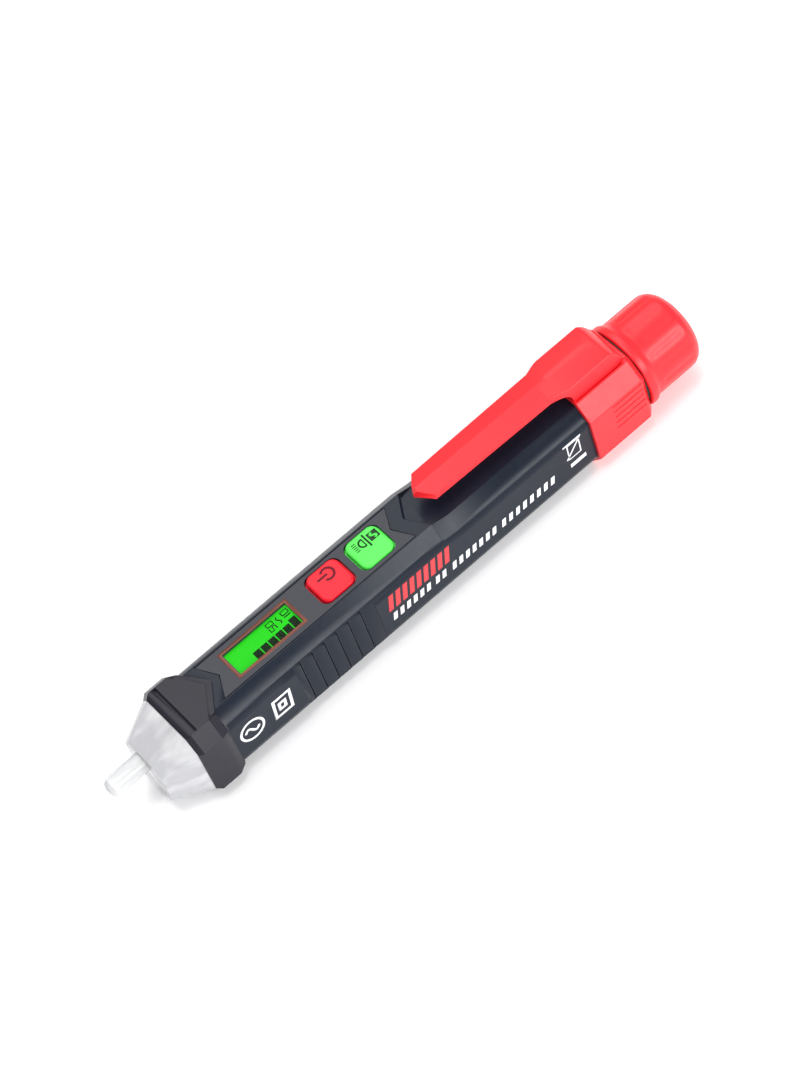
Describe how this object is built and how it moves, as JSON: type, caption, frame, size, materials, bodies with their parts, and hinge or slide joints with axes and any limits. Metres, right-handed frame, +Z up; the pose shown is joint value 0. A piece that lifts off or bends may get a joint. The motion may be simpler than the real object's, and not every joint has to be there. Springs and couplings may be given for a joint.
{
  "type": "non contact voltage tester",
  "caption": "Pen-shaped non contact voltage tester: clear nose with sensing nib, display and push buttons on an eight-sided tube, sprung pocket clip and a screw cap that closes the battery bay.",
  "frame": {"origin": "middle of the length, under the pen's axis, on the surface the pen lies on", "axes": "+X from the sensing nib to the screw cap, +Z up through the display and buttons, +Y across"},
  "size_m": [0.158, 0.0206, 0.0279],
  "materials": {
    "body_plastic": "fine matte moulded grain",
    "collar_plastic": "satin",
    "panel_plastic": "satin",
    "clear_plastic": "clear moulded plastic",
    "milky_plastic": "translucent moulded plastic",
    "window_plastic": "clear polished plastic",
    "red_plastic": "satin moulded plastic",
    "green_plastic": "satin moulded plastic",
    "lcd_cell": "backlit display cell",
    "light_guide": "white diffuser",
    "zebra_rubber": "soft conductive strip",
    "board_laminate": "solder mask",
    "chip_plastic": "moulded package",
    "ceramic_chips": "ceramic",
    "switch_plastic": "moulded",
    "plunger_plastic": "moulded",
    "carrier_plastic": "moulded",
    "lamp_lens": "clear lamp",
    "plated_steel": "nickel plated",
    "spring_steel": "drawn wire",
    "rod_brass": "plain",
    "cell_jacket": "printed sleeve, plain",
    "seal_rubber": "matte"
  },
  "bodies": {
    "pen_body": {"nose_cone": "clear_plastic", "sensor_nib": "milky_plastic", "antenna_rod": "rod_brass", "nose_collar": "collar_plastic", "housing": "body_plastic", "inner_carrier": "carrier_plastic", "face_panel": "panel_plastic", "lcd_window": "window_plastic", "lcd_glass": "lcd_cell", "lcd_backlight": "light_guide", "lcd_frame": "plated_steel", "lcd_connectors": "zebra_rubber", "power_switch": "switch_plastic", "mode_switch": "switch_plastic", "circuit_board": "board_laminate", "control_chip": "chip_plastic", "sense_amplifier": "chip_plastic", "chip_components": "ceramic_chips", "buzzer": "chip_plastic", "signal_leds": "lamp_lens", "torch_led": "lamp_lens", "board_screws": "plated_steel", "front_contact": "plated_steel", "battery_front": "cell_jacket", "battery_rear": "cell_jacket", "return_strip": "plated_steel", "clip_collar": "red_plastic", "seal_ring": "seal_rubber"},
    "power_key": {"power_button": "red_plastic", "power_switch_plunger": "plunger_plastic"},
    "mode_key": {"mode_button": "green_plastic", "mode_switch_plunger": "plunger_plastic"},
    "clip_arm": {"pocket_clip": "red_plastic"},
    "cap_carriage": {"battery_spring": "spring_steel", "contact_disc": "plated_steel"},
    "screw_cap": {"tail_cap": "red_plastic"}
  },
  "joints": [
    {"name": "power_press", "type": "slide", "parent": "pen_body", "child": "power_key", "axis": [0, 0, -1], "range_m": [0, 0.0005], "stiffness_N_per_m": 3000, "springref_m": -0.0002},
    {"name": "mode_press", "type": "slide", "parent": "pen_body", "child": "mode_key", "axis": [0, 0, -1], "range_m": [0, 0.0005], "stiffness_N_per_m": 3000, "springref_m": -0.0002},
    {"name": "clip_flex", "type": "hinge", "parent": "pen_body", "child": "clip_arm", "pos_m": [0.0435, 0, 0.02653], "axis": [0, 1, 0], "range_deg": [0, 5], "stiffness_Nm_per_rad": 2, "springref_deg": -1.15},
    {"name": "cap_advance", "type": "slide", "parent": "pen_body", "child": "cap_carriage", "axis": [1, 0, 0], "range_m": [0, 0.00376]},
    {"name": "cap_turn", "type": "hinge", "parent": "cap_carriage", "child": "screw_cap", "pos_m": [0.07, 0, 0.01135], "axis": [1, 0, 0], "range_deg": [0, 900]}
  ],
  "couplings": [
    {"joint": "cap_advance", "follows": "cap_turn", "m_per_rad": 0.00023873}
  ]
}
